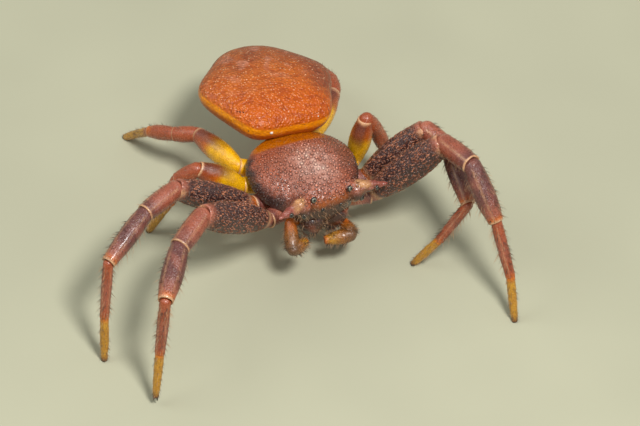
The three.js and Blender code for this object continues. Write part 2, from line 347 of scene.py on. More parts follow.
def abdomenSkin():
    # leathery skin of fine close granules, the tops glinting with pale colour painted at the glints, with
    # faint cross wrinkles; painted shade between the granules and in the wrinkle troughs
    finish = Finish("abdomen skin", IOR=1.45, Coat_Weight=0.1, Coat_Roughness=0.25)
    tint = finish.attribute("tint", "Color")
    grain = finish.attribute("grain")
    wide = finish.node("ShaderNodeMapping", {}, finish.place, Scale=(0.6, 1.0, 1.0),
                       Rotation=(0, 0, math.radians(25)))
    wrinkles = finish.grain(5.5, 3.0, 0.6, wide)
    granules = 1 - finish.cells(10.0).step(0.0, 0.75)
    fine = finish.grain(22.0, 2.0, 0.6)
    cloud = finish.grain(1.3, 4.0, 0.6).step(0.4, 0.68)
    glint = finish.cells(9.0).step(0.28, 0.12) * finish.grain(2.4, 3.0, 0.6).step(0.4, 0.56) * grain
    shade = finish.mix(0.4 * cloud, tint, skinShades["cloud"], "MULTIPLY")
    # painted shade between the granules
    shade = finish.mix((0.6 - granules * 0.6) * grain, shade, skinShades["paintedHollowShade"], "MULTIPLY")
    # painted shade in the wrinkle troughs
    paintedTroughShade = (1 - wrinkles.step(0.35, 0.55)) * 0.6 * grain
    shade = finish.mix(paintedTroughShade, shade, skinShades["wrinkles"], "MULTIPLY")
    shade = finish.mix(glint * 0.5, shade, skinShades["glint"])
    finish.use("Base Color", shade)
    finish.use("Roughness", 0.36 - glint * 0.12 + (fine - 0.5) * 0.25)
    finish.relief((granules * 0.8 + wrinkles * 0.7) * grain + fine * 0.3, skinRelief)
    return finish.material


abdomenFinish = abdomenSkin()


def hairFinish(name, rootColour, tipColour):
    finish = Finish(name, Roughness=0.45, IOR=1.5)
    finish.use("Base Color", finish.mix(finish.attribute("along"), rootColour, tipColour))
    return finish.material


def eyeLens():
    finish = Finish("eye lens", Roughness=0.06, IOR=1.55, Coat_Weight=0.6, Coat_Roughness=0.03)
    finish.use("Base Color", finish.attribute("tint", "Color"))
    return finish.material


# Hairs and granules: one small shape repeated over a surface as a joined mesh

hairForm = {"sides": 3, "tip": 0.12, "bends": 3}
paintedGranuleHighlight = {"highlightGain": 0.75, "from": 0.5, "to": 0.95, "brightest": 0.85}


def hairShape():
    # one tapering hair of unit length, cut across so that it can bend
    bm = bmesh.new()
    bmesh.ops.create_cone(bm, segments=hairForm["sides"], radius1=1, radius2=hairForm["tip"], depth=1,
                          cap_ends=True)
    bmesh.ops.translate(bm, verts=bm.verts, vec=(0, 0, 0.5))
    for level in range(1, hairForm["bends"] + 1):
        bmesh.ops.bisect_plane(bm, geom=bm.verts[:] + bm.edges[:] + bm.faces[:], dist=mergeDistance,
                               plane_co=(0, 0, level / (hairForm["bends"] + 1)), plane_no=(0, 0, 1))
    return arraysOf(bm)


hairPoints, hairFaces = hairShape()
patchSpread = 0.0015 * np.array([[math.cos(i), math.sin(i)] for i in range(len(hairPoints))])


def addHair(pile, root, direction, length, thick, sag, patch):
    # thick is the width at the root, sag the way it bends, patch its place on the bake map
    along = hairPoints[:, 2]
    turn = np.array(basis(direction).to_3x3())
    local = hairPoints * np.array([thick / 2, thick / 2, length])
    shape = local @ turn.T + np.outer(along ** 2 * length, np.array(sag))
    pile.add(shape + np.array(root), hairFaces, along=along, root=np.array(patch) + patchSpread)


def addBeads(pile, shape, beads):
    # each granule: place, outward direction, radius, height, tone; a painted highlight makes the top paler
    points, faces = shape
    # painted highlight: the top of each bead is made paler
    top = 1 + paintedGranuleHighlight["highlightGain"] * smooth(points[:, 2], paintedGranuleHighlight["from"], paintedGranuleHighlight["to"])
    for place, outward, radius, height, tone in beads:
        turn = np.array(basis(outward).to_3x3())
        shaped = (points * np.array([radius, radius, height])) @ turn.T + np.array(place)
        pile.add(shaped, faces, tint=np.clip(np.outer(top, tone), 0, paintedGranuleHighlight["brightest"]), grain=0.0)


# Camera, set from the photograph: where the spider's own frame lies in it

camera = {
    "azimuth": -31.4, "elevation": 49.2, "roll": 7.3, "distance": 150.0,
    "aim": (0.725, 0.094, 0.0), "pixelsPerMm": 29.5, "frameWidth": 640, "sensor": 36, "clip": (0.005, 5),
}


def makeCamera():
    back, roll = bearing(camera["azimuth"], camera["elevation"]), math.radians(camera["roll"])
    levelRight = Vector((0, 0, 1)).cross(back).normalized()
    levelUp = back.cross(levelRight)
    right = math.cos(roll) * levelRight + math.sin(roll) * levelUp
    up = math.cos(roll) * levelUp - math.sin(roll) * levelRight
    data = bpy.data.cameras.new("view")
    data.sensor_width = camera["sensor"]
    data.lens = camera["pixelsPerMm"] * camera["distance"] / camera["frameWidth"] * data.sensor_width
    data.clip_start, data.clip_end = camera["clip"]
    view = addObject("view", data)
    place = (Vector(camera["aim"]) + footprintShift + back * camera["distance"]) * mm
    view.matrix_world = Matrix.Translation(place) @ Matrix((right, up, back)).transposed().to_4x4()
    bpy.context.scene.camera = view


makeCamera()
print("camera set")


# Floor and lights

studio = {
    "floorColour": (0.43, 0.425, 0.31), "floorHalf": 0.6, "floorShade": 0.93, "floorClouds": 0.12,
    "worldColour": (0.95, 0.97, 0.9), "worldStrength": 0.42, "lampAim": (-0.5, 0.5, 2),
    "lamps": [   # direction as azimuth and height in degrees, distance and size in mm, power in mW
        {"azimuth": 5, "height": 66, "distance": 90, "size": 22, "power": 78.0, "tone": (1, 0.98, 0.95)},
        {"azimuth": -120, "height": 45, "distance": 100, "size": 60, "power": 24.0, "tone": (0.96, 1, 0.97)},
    ],
}


def makeStudio():
    bm = bmesh.new()
    bmesh.ops.create_grid(bm, x_segments=1, y_segments=1, size=studio["floorHalf"])
    mesh = bpy.data.meshes.new("floor")
    bm.to_mesh(mesh)
    bm.free()
    floor = addObject("floor", mesh)
    finish = Finish("floor", Roughness=0.75)
    cloud = finish.grain(studio["floorClouds"]).step(0.3, 0.7)
    tone = np.array(studio["floorColour"])
    finish.use("Base Color", finish.mix(cloud, tuple(tone), tuple(tone * studio["floorShade"])))
    mesh.materials.append(finish.material)
    world = bpy.data.worlds.new("studio")
    world.use_nodes = True
    backdrop = world.node_tree.nodes["Background"]
    backdrop.inputs[0].default_value = (*studio["worldColour"], 1)
    backdrop.inputs[1].default_value = studio["worldStrength"]
    bpy.context.scene.world = world
    bpy.context.scene.view_settings.view_transform = "Standard"
    for lamp in studio["lamps"]:
        data = bpy.data.lights.new("lamp", "AREA")
        data.shape = "DISK"
        data.size = lamp["size"] * mm
        data.energy = lamp["power"] * mm
        data.color = lamp["tone"]
        toLamp = bearing(lamp["azimuth"], lamp["height"])
        place = (footprintShift + Vector(studio["lampAim"])) * mm + toLamp * lamp["distance"] * mm
        turn = basis(-toLamp) @ Matrix.Rotation(math.pi, 4, "X")
        addObject("lamp", data).matrix_world = Matrix.Translation(place) @ turn


makeStudio()
print("studio set")


# Carapace: shield, head and eye horns, fused and smoothed

shield = {   # the slope is the share by which the top sinks, and where it starts and ends
    "halfWidth": 1.96, "halfLength": 1.68, "top": 0.95, "bottom": 0.14, "y": 0.13,
    "fullness": 0.85, "plan": 0.94, "slope": (0.55, -0.2, 1.7), "mesh": (64, 40),
}
head = {
    "halfWidth": 1.27, "halfLength": 1.08, "top": 0.98, "bottom": 0.55, "y": -0.75,
    "fullness": 0.7, "plan": 0.75, "slope": (0, 0, 1), "mesh": (48, 32),
}
horn = {"root": (0.8, -1.35, 0.6), "tip": (2.08, -1.77, 0.79), "radii": (0.3, 0.26, 0.17, 0.06)}
hornFoot = {"at": (1.02, -1.52, 0.5), "radius": 0.34}
eyes = {
    "ame": {"at": (0.35, -1.74, 0.42), "radius": 0.08, "rim": "face", "glass": 0.15},
    "ale": {"at": (1.12, -1.79, 0.48), "radius": 0.11, "rim": "rim", "glass": 0.3},
    "pme": {"at": (0.7, -1.56, 0.88), "radius": 0.1, "rim": "face", "glass": 1.0},
    "ple": {"at": (1.66, -1.78, 0.76), "radius": 0.085, "rim": "rim", "glass": 0.3},
}
eyeRing = {"width": 0.14, "corners": 8, "facets": 20}   # width as a share of the eye's radius
carapaceDetail = {
    "voxel": 0.03, "smoothing": 7, "granules": 1100, "spacing": (0.09, 0.135), "granuleSize": (0.028, 0.053),
    "granuleShade": (0.6, 1.1), "granuleHeight": 0.85, "granuleSunk": 0.3, "hollowDepth": 0.012,
    "paintedRingShade": 0.72,
}
granuleZone = {"low": 0.08, "upward": 0.1, "horn": (1.1, -1.1), "front": -1.62, "rear": 1.0}


def lens(sizes):
    # a rounded shape with its own width, length, top and bottom, flatter or squarer than a ball
    points, faces = ball(*sizes["mesh"])
    flat = np.hypot(points[:, 0], points[:, 1])
    angle = np.arctan2(points[:, 1], points[:, 0])
    plan, fullness = sizes["plan"], sizes["fullness"]
    square = (np.abs(np.cos(angle)) ** (2 / plan) + np.abs(np.sin(angle)) ** (2 / plan)) ** (-plan / 2)
    reach = flat ** fullness * square
    along = np.sin(angle) * reach * sizes["halfLength"] + sizes["y"]
    share, low, high = sizes["slope"]
    top = sizes["top"] * (1 - share * smooth(along, low, high))
    rise = np.abs(points[:, 2]) ** fullness * np.where(points[:, 2] > 0, top, sizes["bottom"])
    across = np.cos(angle) * reach * sizes["halfWidth"]
    return np.column_stack([across, along, np.sign(points[:, 2]) * rise]), faces


def limbProfile(radii, length):
    # four radii in even steps along a limb, with a rounded end at each side
    first, second, third, last = radii
    return [(0, -first * 0.95), (first * 0.66, -first * 0.66), (first, 0), (second, length * 0.33),
            (third, length * 0.66), (last, length), (last * 0.66, length + last * 0.66),
            (0, length + last * 0.95)]


def limbBetween(start, end, radii, facets):
    points, faces = turned(limbProfile(radii, (end - start).length), facets)
    return placed(points, Matrix.Translation(start) @ basis(end - start)), faces


def fused(name, shapes, voxel, smoothing):
    # joins closed shapes in millimetres into one smooth closed skin
    loose = Pile()
    for points, faces in shapes:
        loose.add(points, faces)
    mesh = bpy.data.meshes.new(name)
    mesh.from_pydata(np.concatenate(loose.points).tolist(), [], loose.faces)
    whole = addObject(name, mesh)
    remesh = whole.modifiers.new("fuse", "REMESH")
    remesh.mode = "VOXEL"
    remesh.voxel_size = voxel
    relax = whole.modifiers.new("relax", "SMOOTH")
    relax.factor = 0.5
    relax.iterations = smoothing
    evaluated = whole.evaluated_get(bpy.context.evaluated_depsgraph_get())
    result = evaluated.to_mesh()
    points = np.array([vertex.co[:] for vertex in result.vertices])
    normals = np.array([vertex.normal[:] for vertex in result.vertices])
    faces = [tuple(face.vertices) for face in result.polygons]
    evaluated.to_mesh_clear()
    bpy.data.objects.remove(whole)
    bpy.data.meshes.remove(mesh)
    return points, normals, faces


tones = palette(
    brown=(164, 92, 68), brick=(174, 92, 62), right=(116, 66, 38), dark=(64, 34, 32),
    pale=(240, 200, 184), face=(62, 30, 18), band=(168, 82, 8), cream=(206, 150, 98), pink=(160, 78, 68),
    black=(38, 22, 24), olive=(196, 110, 0), rim=(140, 90, 66), glass=(120, 120, 104),
)


def carapaceTint(points):
    # colours over the shield in the body's own frame: painted highlight as a sheen, painted shade on the
    # right flank, dark edge, painted shade on the orange rear slope, face, band below the eyes, horns and
    # underside
    x, y, z = points.T
    wide = np.abs(x)
    radius = np.hypot(x / shield["halfWidth"], (y - shield["y"]) / shield["halfLength"])
    cloud = speckle(points, 1.3, 1)
    fine = speckle(points, 4.5, 4)
    ground = blend(tones["brown"], tones["brick"], smooth(cloud, -0.3, 0.4))
    # painted highlight: a pale sheen over the middle of the shield
    paintedSheen = np.exp(-((x - 0.05) / 0.62) ** 2 - ((y + 0.15) / 0.85) ** 2)
    side = smooth(radius + 0.06 * fine, 0.86, 1.0) * smooth(y, -1.5, -0.9) * smooth(y, 1.5, 1.0)
    front = smooth(y, -1.3, -1.62) * smooth(wide, 1.5, 1.2)
    band = np.exp(-((z - 0.64) / 0.15) ** 2) * smooth(wide, 0.95, 0.5)
    onHorn = smooth(wide, 0.9, 1.15) * smooth(y, -1.15, -1.4)
    ridge = smooth(z + 0.16 * fine, 0.76, 0.92) * smooth(wide, 1.6, 1.35)
    point = smooth(wide, 1.4, 1.7) * smooth(z, 0.6, 0.72)
    return layered(
        ground, tones,
        # painted highlight, laid on as the pale tone
        ("pale", np.clip(0.7 * paintedSheen * (0.8 + 0.8 * fine), 0, 1)),
        # painted shade darkens the right flank
        ("right", 0.6 * smooth(x, 0.8, 1.3) * smooth(y, -0.9, -0.4)),
        ("dark", side),
        # painted shade on the rear slope under the abdomen, warmed orange by light off it
        ("olive", smooth(y + 0.12 * x, 0.98, 1.12) * smooth(wide, 1.45, 1.1)),
        ("face", front * smooth(z, 0.82, 0.62)),
        ("band", smooth(y, -1.3, -1.55) * band * (0.8 + 0.4 * fine)),
        ("rim", onHorn * 0.6),
        ("face", onHorn * smooth(z + 0.1 * fine, 0.72, 0.55)),
        ("cream", onHorn * ridge),
        ("pink", onHorn * point * (0.8 + 0.4 * fine)),
        ("black", smooth(z, 0.1, -0.1) * smooth(y, -1.7, -1.3)),
    )


def makeCarapace():
    shapes = [lens(shield), lens(head)]
    for sign in sideSigns.values():
        root, tip = mirrored(horn["root"], sign), mirrored(horn["tip"], sign)
        shapes.append(limbBetween(root, tip, horn["radii"], 20))
        points, faces = ball(24, 16)
        shapes.append((points * hornFoot["radius"] + np.array(mirrored(hornFoot["at"], sign)), faces))
    detail = carapaceDetail
    points, normals, faces = fused("carapace shape", shapes, detail["voxel"], detail["smoothing"])
    granules, dipWithPaintedShade = pickGranules(points, normals)
    onHorn = smooth(np.abs(points[:, 0]), 0.85, 1.2) * smooth(points[:, 1], -1.2, -1.4)
    dents = speckle(points, 2.2, 2) * 0.014 + speckle(points, 7.0, 3) * (0.012 + 0.03 * onHorn)
    shaped = points + normals * (dents - detail["hollowDepth"] * dipWithPaintedShade - 0.006)[:, None]
    # painted shade: the skin is darkened in a ring round each granule
    tint = carapaceTint(points) * (1 - detail["paintedRingShade"] * dipWithPaintedShade)[:, None]
    skin = Pile()
    skin.add(placed(shaped, bodyFrame), faces, tint=tint, grain=0.6 * smooth(points[:, 2], 0.1, 0.4))
    addBeads(skin, ball(8, 5), granules)
    addEyeRims(skin)
    piece = skin.make("carapace_shield", carapaceFinish)
    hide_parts("carapace")
    return points, normals


def pickGranules(points, normals):
    # round granules over the upper side, smaller and closer towards the rim, each in a slight dip with
    # painted shade round it
    order = list(range(len(points)))
    chance.shuffle(order)
    central = np.clip(smooth(points[:, 2], 0.35, 0.85) - 0.25 * smooth(points[:, 1], 0.9, 1.3), 0, 1)
    detail, zone = carapaceDetail, granuleZone
    low, high = detail["spacing"]
    small, large = detail["granuleSize"]
    taken, chosen = {}, []
    for index in order:
        x, y, z = near = points[index]
        onHorn = abs(x) > zone["horn"][0] and y < zone["horn"][1]
        if z < zone["low"] or normals[index][2] < zone["upward"] or onHorn:
            continue
        if y < zone["front"] or y > zone["rear"]:
            continue
        gap = low + (high - low) * central[index]
        cell = tuple(int(value // high) for value in near)
        around = [other for dx in (-1, 0, 1) for dy in (-1, 0, 1) for dz in (-1, 0, 1)
                  for other in taken.get((cell[0] + dx, cell[1] + dy, cell[2] + dz), [])]
        if any(np.linalg.norm(near - other) < gap for other in around):
            continue
        taken.setdefault(cell, []).append(near)
        chosen.append((index, small + (large - small) * central[index] * chance.uniform(0.3, 1)))
        if len(chosen) >= detail["granules"]:
            break
    tree = kdtree.KDTree(len(chosen))
    for rank, (index, _) in enumerate(chosen):
        tree.insert(points[index], rank)
    tree.balance()
    nearest = [tree.find(point) for point in points]
    apart = np.array([distance / chosen[rank][1] for _, rank, distance in nearest])
    # a dip in the skin with painted shade, near each granule
    dipWithPaintedShade = smooth(apart, 1.9, 1.1)
    tint = carapaceTint(points[[index for index, _ in chosen]])
    turn = np.array(bodyFrame.to_3x3())
    beads = []
    for (index, radius), tone in zip(chosen, tint):
        place, outward = points[index], normals[index]
        shade = tone * chance.uniform(*detail["granuleShade"])
        spot = placed(np.array([place - outward * radius * detail["granuleSunk"]]), bodyFrame)[0]
        beads.append((spot, turn @ outward, radius, radius * detail["granuleHeight"], shade))
    return beads, dipWithPaintedShade


def eyePlaces():
    # each eye with its place and the way it looks, in the body's own frame
    for eye in eyes.values():
        for sign in sideSigns.values():
            place = mirrored(eye["at"], sign)
            yield eye, place, Vector((place.x * 0.35, -1, 0.75))


def addEyeRims(pile):
    # a low ring round each eye, open side outward
    width = eyeRing["width"]
    corners = np.linspace(0, 2 * math.pi, eyeRing["corners"], endpoint=False)
    for eye, place, outward in eyePlaces():
        radius = eye["radius"]
        ring = [(radius * (1 + width * math.cos(turn)), radius * width * math.sin(turn)) for turn in corners]
        points, faces = turned(ring, eyeRing["facets"], ring=True)
        matrix = bodyFrame @ Matrix.Translation(place) @ basis(outward)
        pile.add(placed(points, matrix), faces, tint=tones[eye["rim"]], grain=0.0)


carapacePoints, carapaceNormals = makeCarapace()
print("carapace made")


def makeEyes():
    # dark balls with a painted reflection: a grey ring round the way each one looks
    lenses = Pile()
    points, faces = ball(24, 16)
    for eye, place, outward in eyePlaces():
        facing = points @ np.array(outward.normalized())
        # painted reflection: a pale grey ring on each lens
        glassy = smooth(facing, 0.5, 0.65) * smooth(facing, 0.93, 0.82) * eye["glass"]
        shape = placed(points * eye["radius"], bodyFrame.to_3x3().to_4x4())
        tint = blend(tones["black"] * 0.4, tones["glass"], glassy)
        lenses.add(shape + np.array(bodyFrame @ place), faces, tint=tint)
    piece = lenses.make("eye_lenses", eyeLens())
    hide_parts(*[f"eye_{kind}_{name}" for kind in eyes for name in sideSigns])


makeEyes()
print("eyes made")


# Abdomen: rounded five-sided plan, low flat top, deeper belly

abdomen = {
    "top": 0.66, "bottom": 1.3, "roundness": 9,
    "sides": [(-90, 2.15), (-24, 2.26), (46, 2.09), (90, 2.12)],   # facing direction, distance
    "mesh": (360, 180), "creases": 0.009, "swell": 0.05, "upperCurve": 0.8,
}
abdomenTones = palette(
    front=(212, 104, 0), middle=(206, 112, 34), rear=(182, 102, 50), rim=(255, 160, 0),
    belly=(190, 100, 16), dusky=(146, 78, 52), lavender=(208, 150, 130), chalk=(240, 226, 214),
    soot=(60, 34, 20),
)
abdomenSpecks = [   # place, radius, tone
    ((-0.85, -2.1, -0.1), 0.06, "chalk"), ((-1.72, -1.25, 0.35), 0.035, "soot"),
    ((-1.62, -1.3, 0.35), 0.03, "soot"), ((-1.8, -1.18, 0.35), 0.025, "soot"),
    ((-1.2, -1.75, 0.2), 0.02, "soot"), ((-0.3, -1.6, 0.4), 0.02, "soot"), ((0.9, -1.9, 0.1), 0.03, "chalk"),
    ((-1.45, -1.7, -0.1), 0.025, "soot"), ((0.4, -2.0, 0.0), 0.02, "soot"),
]


def abdomenReach(angle):
    # how far the plan reaches each way: straight sides with rounded corners
    across, along = np.abs(np.cos(angle)), np.sin(angle)
    total = 0
    for facing, distance in abdomen["sides"]:
        facing = math.radians(facing)
        share = (math.cos(facing) * across + math.sin(facing) * along) / distance
        total = total + np.maximum(share, 0) ** abdomen["roundness"]
    return total ** (-1 / abdomen["roundness"])


def abdomenTint(points):
    # front to rear, then clouds, painted highlight as pale lavender patches on the top, bright rim, dark
    # tail, dusky right side and belly
    x, y, z = points.T
    back = smooth(y, -1.2, 1.2)
    cloud, patches = speckle(points, 1.1, 5), speckle(points, 2.2, 9)
    tint = layered(
        abdomenTones["front"], abdomenTones,
        ("middle", smooth(y, -1.4, 0.0)),
        ("rear", smooth(y, -0.2, 1.2)),
        ("dusky", 0.5 * smooth(cloud, -0.1, 0.4) * back),
        # painted highlight: lavender sheen patches on the upper back
        ("lavender", 0.6 * smooth(patches, 0.12, 0.42) * back * smooth(z, 0.2, 0.5)),
        ("rim", smooth(z, 0.1, 0.0) * smooth(z, -0.34, -0.12) * smooth(y, 0.8, -0.2)),
    )
    tint = blend(tint, abdomenTones["dusky"] * 0.6, smooth(z, 0.3, 0.0) * smooth(y, 0.9, 1.5) * 0.7)
    return layered(
        tint, abdomenTones,
        ("dusky", smooth(x, 0.9, 1.8) * smooth(y, -1.4, -0.6) * 0.85),
        ("belly", smooth(z, -0.15, -0.4) * 0.85),
    )


def makeAbdomen():
    points, faces = ball(*abdomen["mesh"])
    angle = np.arctan2(points[:, 1], points[:, 0])
    flat = np.hypot(points[:, 0], points[:, 1])
    upper = points[:, 2] > 0
    reach = flat ** np.where(upper, abdomen["upperCurve"], 1.0) * (abdomenReach(angle) - 0.02)
    height = points[:, 2] * np.where(upper, abdomen["top"], abdomen["bottom"])
    shaped = np.column_stack([np.cos(angle) * reach, np.sin(angle) * reach, height])
    outward = unit(shaped)
    stretched = shaped * np.array([0.7, 1.0, 1.0])
    creases = speckle(stretched, 4.0, 6) + speckle(shaped, 9.0, 7) * 0.7
    swell = speckle(shaped, 0.9, 8) * abdomen["swell"]
    shaped = shaped + outward * (creases * abdomen["creases"] + swell - 0.03)[:, None]
    skin = Pile()
    rough = 0.4 + 0.6 * smooth(shaped[:, 2], 0.0, 0.2)
    skin.add(placed(shaped, abdomenFrame), faces, tint=abdomenTint(shaped), grain=rough)
    turn = np.array(abdomenFrame.to_3x3())
    specks = []
    for spot, radius, tone in abdomenSpecks:
        nearest = int(np.argmin(np.linalg.norm(shaped - np.array(spot), axis=1)))
        place = placed(shaped[nearest:nearest + 1], abdomenFrame)[0]
        specks.append((place, turn @ outward[nearest], radius, radius * 0.5, abdomenTones[tone]))
    addBeads(skin, bead(2), specks)
    piece = skin.make("abdomen_skin", abdomenFinish)
    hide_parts("abdomen")


makeAbdomen()
print("abdomen made")


# Underside: sternum plate and waist, fused

sternum = {
    "halfWidth": 1.0, "halfLength": 1.35, "top": 0.2, "bottom": 0.85, "y": 0.1,
    "fullness": 0.8, "plan": 1.0, "slope": (0, 0, 1), "mesh": (40, 24), "voxel": 0.05, "smoothing": 4,
}
waist = {"start": (0, 1.1, -0.5), "end": (0, 2.15, -0.35), "radii": (0.24, 0.22, 0.22, 0.24)}
spinnerets = {   # pairs in the abdomen's frame: distance from the middle, height, length, radius
    "pairs": ((0.11, -0.88, 0.5, 0.11), (0.12, -0.97, 0.42, 0.1), (0.05, -0.93, 0.4, 0.07)),
    "root": 1.6, "splay": 0.4, "drop": -0.1, "taper": (1, 1, 0.8, 0.5),
}
underTones = palette(
    plate=(150, 92, 42), waist=(176, 104, 40), spinnerets=(150, 84, 48),
)


def makeUnderside():
    stalk = limbBetween(Vector(waist["start"]), Vector(waist["end"]), waist["radii"], 20)
    shapes = [lens(sternum), stalk]
    points, _, faces = fused("underside shape", shapes, sternum["voxel"], sternum["smoothing"])
    pile = Pile()
    tint = blend(underTones["plate"], underTones["waist"], smooth(points[:, 1], 1.2, 1.6))
    pile.add(placed(points, bodyFrame), faces, tint=tint, grain=0.2)
    piece = pile.make("sternum_and_waist", softFinish)
    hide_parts("sternum", "pedicel")


def makeSpinnerets():
    pile = Pile()
    turnToAbdomen = abdomenFrame.to_3x3()
    for across, low, length, radius in spinnerets["pairs"]:
        radii = [radius * share for share in spinnerets["taper"]]
        for sign in sideSigns.values():
            start = abdomenFrame @ Vector((across * sign, spinnerets["root"], low))
            direction = turnToAbdomen @ Vector((across * sign * spinnerets["splay"], 1, spinnerets["drop"]))
            points, faces = turned(limbProfile(radii, length), 14)
            pile.add(placed(points, Matrix.Translation(start) @ basis(direction)), faces,
                     tint=underTones["spinnerets"], grain=0.1)
    piece = pile.make("spinneret_cones", softFinish)
    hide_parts("spinnerets")


makeUnderside()
makeSpinnerets()
print("underside made")


# Legs

legJoints = {
    "left_1": [(1.88, -1.09, 1.74), (3.94, -1.89, 4.35), (4.23, -3.29, 4.61), (4.57, -4.76, 3.17),
               (4.75, -5.87, 1.49), (4.72, -6.6, 0)],
    "left_2": [(2.05, -0.27, 1.66), (3.93, -0.67, 3.79), (4.39, -1.6, 3.49), (4.23, -3.49, 2.83),
               (3.4, -3.36, 1.22), (2.65, -3.1, 0)],
    "left_3": [(2.07, 0.51, 1.78), (2.45, 0.77, 3.38), (2.92, 0.74, 2.64), (3.3, 0.67, 1.67),
               (3.27, 0.69, 0.81), (3.2, 0.7, 0)],
    "left_4": [(1.3, 2.1, 1.65), (2.72, 3.5, 1.76), (2.98, 4.22, 1.6), (2.9, 5.2, 1.12),
               (2.74, 5.8, 0.5), (2.65, 6.35, 0)],
    "right_1": [(-2.0, -1.12, 2.17), (-4.76, -1.62, 4.13), (-5.95, -2.45, 3.98), (-7.19, -4.11, 3.66),
                (-7.52, -4.65, 1.77), (-7.84, -5.22, 0.3)],
    "right_2": [(-2.2, -0.37, 2.2), (-5.07, -0.2, 4.07), (-6.42, -0.75, 4.02), (-8.14, -1.76, 3.4),
                (-8.49, -2.45, 1.55), (-8.65, -2.98, 0)],
    "right_3": [(-2.2, 0.48, 2.26), (-3.61, 1.07, 3.08), (-4.18, 1.35, 2.47), (-4.46, 1.28, 1.49),
                (-4.75, 1.41, 0.72), (-5.02, 1.53, 0)],
    "right_4": [(-2.0, 1.22, 2.35), (-2.59, 3.16, 2.19), (-3.16, 3.73, 1.84), (-3.65, 4.62, 1.25),
                (-3.81, 5.2, 0.58), (-4.03, 5.66, 0)],
}
segmentNames = ("coxa", "femur", "patella", "tibia", "metatarsus", "tarsus")
firstLeg = dict(   # four radii along each segment
    coxa=(0.32, 0.34, 0.33, 0.3), femur=(0.3, 0.52, 0.56, 0.38),
    patella=(0.33, 0.36, 0.37, 0.33), tibia=(0.31, 0.37, 0.36, 0.25),
    metatarsus=(0.19, 0.2, 0.19, 0.16), tarsus=(0.15, 0.15, 0.14, 0.1),
)
secondLeg = dict(
    coxa=(0.32, 0.34, 0.33, 0.3), femur=(0.28, 0.47, 0.5, 0.35),
    patella=(0.31, 0.34, 0.34, 0.3), tibia=(0.28, 0.33, 0.31, 0.23),
    metatarsus=(0.17, 0.18, 0.17, 0.15), tarsus=(0.14, 0.15, 0.14, 0.1),
)
hindLeg = dict(
    coxa=(0.3, 0.32, 0.31, 0.27), femur=(0.27, 0.4, 0.4, 0.27),
    patella=(0.25, 0.28, 0.28, 0.24), tibia=(0.23, 0.26, 0.25, 0.19),
    metatarsus=(0.16, 0.16, 0.15, 0.14), tarsus=(0.14, 0.14, 0.13, 0.1),
)
legRadii = {"1": firstLeg, "2": secondLeg, "3": hindLeg, "4": hindLeg}
femurSlimness = {"1": 0.86, "2": 0.84, "3": 0.9, "4": 0.9}
coxaInner = {"x": 0.62, "share": 0.62, "rear": 1.0, "z": -0.5}   # where the hips meet under the body
limbMesh = {"facets": 28, "stations": 26, "last": 0.985, "rim": 0.05, "bump": 0.012}
legTones = palette(
    purple=(58, 28, 27), plum=(110, 60, 56), red=(160, 84, 60), rust=(168, 78, 38), orange=(206, 104, 14),
    ochre=(200, 144, 34), yellow=(250, 188, 0), cream=(218, 168, 124), grey=(90, 84, 70),
    pink=(188, 112, 88), dark=(92, 44, 30), speck=(184, 118, 84), tan=(160, 100, 36), umber=(112, 76, 44),
)


def marks(text):
    # colours along a segment, from a text such as "0 red, 1 pink"
    pairs = [pair.split() for pair in text.split(",")]
    return [(float(place), legTones[name]) for place, name in pairs]


def tintsOf(**texts):
    return {name: marks(text) for name, text in texts.items()}


frontLegTints = tintsOf(
    coxa="0 orange, 0.45 orange, 0.7 pink, 0.96 plum, 0.97 cream, 1 cream",
    femur="0 plum, 0.06 pink, 0.08 cream, 0.1 plum, 0.14 purple, 0.9 purple, 0.96 red, 1 pink",
    patella="-0.1 pink, 0.08 red, 0.5 red, 0.955 plum, 0.965 cream, 1 cream",
    tibia="0 plum, 0.6 plum, 0.88 red, 0.96 orange, 0.975 cream, 1 cream",
    metatarsus="0 rust, 0.12 rust, 0.5 red, 0.92 rust, 1 orange",
    tarsus="0 orange, 0.12 ochre, 0.85 ochre, 1 dark",
)
secondLegTints = {**frontLegTints, **tintsOf(
    femur="0 orange, 0.07 orange, 0.1 pink, 0.11 cream, 0.13 plum, 0.18 purple, 0.9 purple, "
          "0.96 red, 1 pink",
)}
hindLegTints = tintsOf(
    coxa="0 ochre, 0.7 yellow, 0.96 yellow, 1 cream",
    femur="0 yellow, 0.5 yellow, 0.66 orange, 0.84 rust, 0.96 rust, 0.98 cream, 1 cream",
    patella="0 rust, 0.95 rust, 0.965 cream, 1 cream",
    tibia="0 rust, 0.7 rust, 0.95 orange, 1 cream",
    metatarsus="0 rust, 0.4 ochre, 1 ochre",
    tarsus="0 ochre, 0.8 ochre, 1 grey",
)
legTints = {"1": frontLegTints, "2": secondLegTints, "3": hindLegTints, "4": hindLegTints}


def curveThrough(values, along):
    # a smooth curve through evenly spaced values, read at shares from 0 to 1
    padded = [2 * values[0] - values[1], *values, 2 * values[-1] - values[-2]]
    position = np.clip(along, 0, 1) * (len(values) - 1)
    index = np.minimum(position.astype(int), len(values) - 2)
    share = position - index
    p = [np.take(padded, index + offset) for offset in range(4)]
    return 0.5 * (2 * p[1] + (p[2] - p[0]) * share + (2 * p[0] - 5 * p[1] + 4 * p[2] - p[3]) * share ** 2
                  + (3 * p[1] - p[0] - 3 * p[2] + p[3]) * share ** 3)


